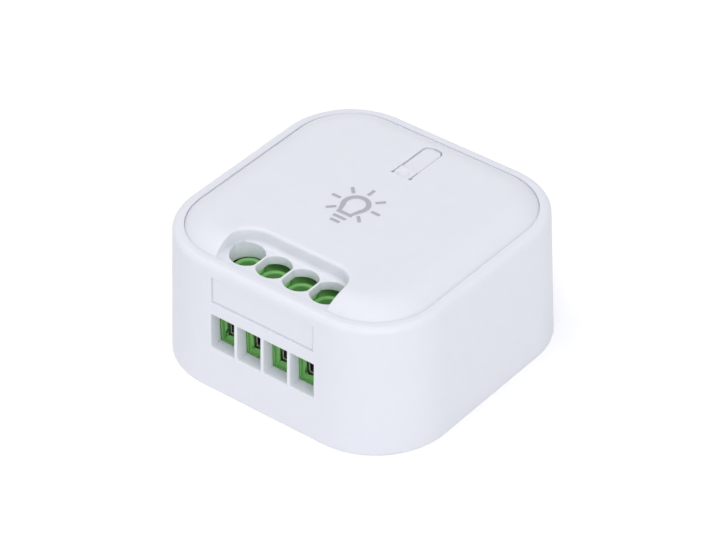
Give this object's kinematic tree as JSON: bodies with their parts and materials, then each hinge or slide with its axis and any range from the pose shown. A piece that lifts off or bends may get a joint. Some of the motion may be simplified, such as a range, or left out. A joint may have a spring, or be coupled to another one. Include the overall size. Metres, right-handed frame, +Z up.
{
  "type": "wireless lighting module",
  "caption": "Rounded square in-wall radio module for a lamp circuit, with a crowned lid, a flexing pairing key, a screwdriver trough and screw terminals with rising clamps.",
  "frame": {"origin": "centre of the flat bottom face", "axes": "+Z up, out of the lid; -Y towards the wire openings; +X to the right seen from the front"},
  "size_m": [0.0494, 0.0494, 0.0248],
  "materials": {
    "white_plastic": "fine satin moulding",
    "green_plastic": "satin moulding",
    "clear_plastic": "clear moulding",
    "black_plastic": "moulded",
    "yellow_plastic": "moulded",
    "blue_coating": "dipped",
    "dark_sleeve": "shrunk sleeve",
    "resistor_coating": "dipped",
    "amber_plastic": "moulded",
    "circuit_board": "solder mask",
    "ferrite": "sintered",
    "white_ceramic": "fired",
    "enamelled_copper": "enamelled",
    "tinned_copper": "tin plated",
    "zinc_plated_steel": "zinc plated",
    "nickel_plated_steel": "nickel plated",
    "stainless_steel": "pressed"
  },
  "bodies": {
    "module": {"casing": "white_plastic", "base_cover": "white_plastic", "lid": "white_plastic", "light_guide": "clear_plastic", "terminal_housing": "green_plastic", "contact_bar_1": "tinned_copper", "contact_bar_2": "tinned_copper", "contact_bar_3": "tinned_copper", "contact_bar_4": "tinned_copper", "main_board": "circuit_board", "radio_board": "circuit_board", "header_block": "black_plastic", "header_pins": "tinned_copper", "relay_case": "black_plastic", "relay_pins": "tinned_copper", "film_capacitor": "yellow_plastic", "varistor": "blue_coating", "smoothing_capacitor": "dark_sleeve", "fusible_resistor": "resistor_coating", "choke_core": "ferrite", "choke_winding": "enamelled_copper", "bridge_rectifier": "black_plastic", "converter_chip": "black_plastic", "radio_chip": "black_plastic", "crystal": "stainless_steel", "chip_antenna": "white_ceramic", "status_light": "amber_plastic", "switch_body": "black_plastic", "switch_cover": "stainless_steel"},
    "key": {"pairing_key": "white_plastic"},
    "plunger": {"switch_plunger": "dark_sleeve"},
    "screw_1": {"terminal_screw_1": "zinc_plated_steel"},
    "clamp_1": {"wire_clamp_1": "nickel_plated_steel"},
    "screw_2": {"terminal_screw_2": "zinc_plated_steel"},
    "clamp_2": {"wire_clamp_2": "nickel_plated_steel"},
    "screw_3": {"terminal_screw_3": "zinc_plated_steel"},
    "clamp_3": {"wire_clamp_3": "nickel_plated_steel"},
    "screw_4": {"terminal_screw_4": "zinc_plated_steel"},
    "clamp_4": {"wire_clamp_4": "nickel_plated_steel"}
  },
  "joints": [
    {"name": "key_press", "type": "hinge", "parent": "module", "child": "key", "pos_m": [0.0001, 0.0115, 0.02395], "axis": [-1, 0, 0], "range_deg": [0, 2.93]},
    {"name": "plunger_press", "type": "slide", "parent": "module", "child": "plunger", "axis": [0, 0, -1], "range_m": [0, 0.00025], "stiffness_N_per_m": 300},
    {"name": "screw_1_turn", "type": "hinge", "parent": "module", "child": "screw_1", "pos_m": [-0.00762, -0.01775, 0.0171], "axis": [0, 0, -1], "range_deg": [0, 1920]},
    {"name": "clamp_1_rise", "type": "slide", "parent": "module", "child": "clamp_1", "axis": [0, 0, 1], "range_m": [0, 0.0024]},
    {"name": "screw_2_turn", "type": "hinge", "parent": "module", "child": "screw_2", "pos_m": [-0.00254, -0.01775, 0.0171], "axis": [0, 0, -1], "range_deg": [0, 1920]},
    {"name": "clamp_2_rise", "type": "slide", "parent": "module", "child": "clamp_2", "axis": [0, 0, 1], "range_m": [0, 0.0024]},
    {"name": "screw_3_turn", "type": "hinge", "parent": "module", "child": "screw_3", "pos_m": [0.00254, -0.01775, 0.0171], "axis": [0, 0, -1], "range_deg": [0, 1920]},
    {"name": "clamp_3_rise", "type": "slide", "parent": "module", "child": "clamp_3", "axis": [0, 0, 1], "range_m": [0, 0.0024]},
    {"name": "screw_4_turn", "type": "hinge", "parent": "module", "child": "screw_4", "pos_m": [0.00762, -0.01775, 0.0171], "axis": [0, 0, -1], "range_deg": [0, 1920]},
    {"name": "clamp_4_rise", "type": "slide", "parent": "module", "child": "clamp_4", "axis": [0, 0, 1], "range_m": [0, 0.0024]}
  ],
  "couplings": [
    {"joint": "key_press", "follows": "plunger_press", "rad_per_m": 204.08},
    {"joint": "screw_1_turn", "follows": "clamp_1_rise", "rad_per_m": 13963},
    {"joint": "screw_2_turn", "follows": "clamp_2_rise", "rad_per_m": 13963},
    {"joint": "screw_3_turn", "follows": "clamp_3_rise", "rad_per_m": 13963},
    {"joint": "screw_4_turn", "follows": "clamp_4_rise", "rad_per_m": 13963}
  ]
}
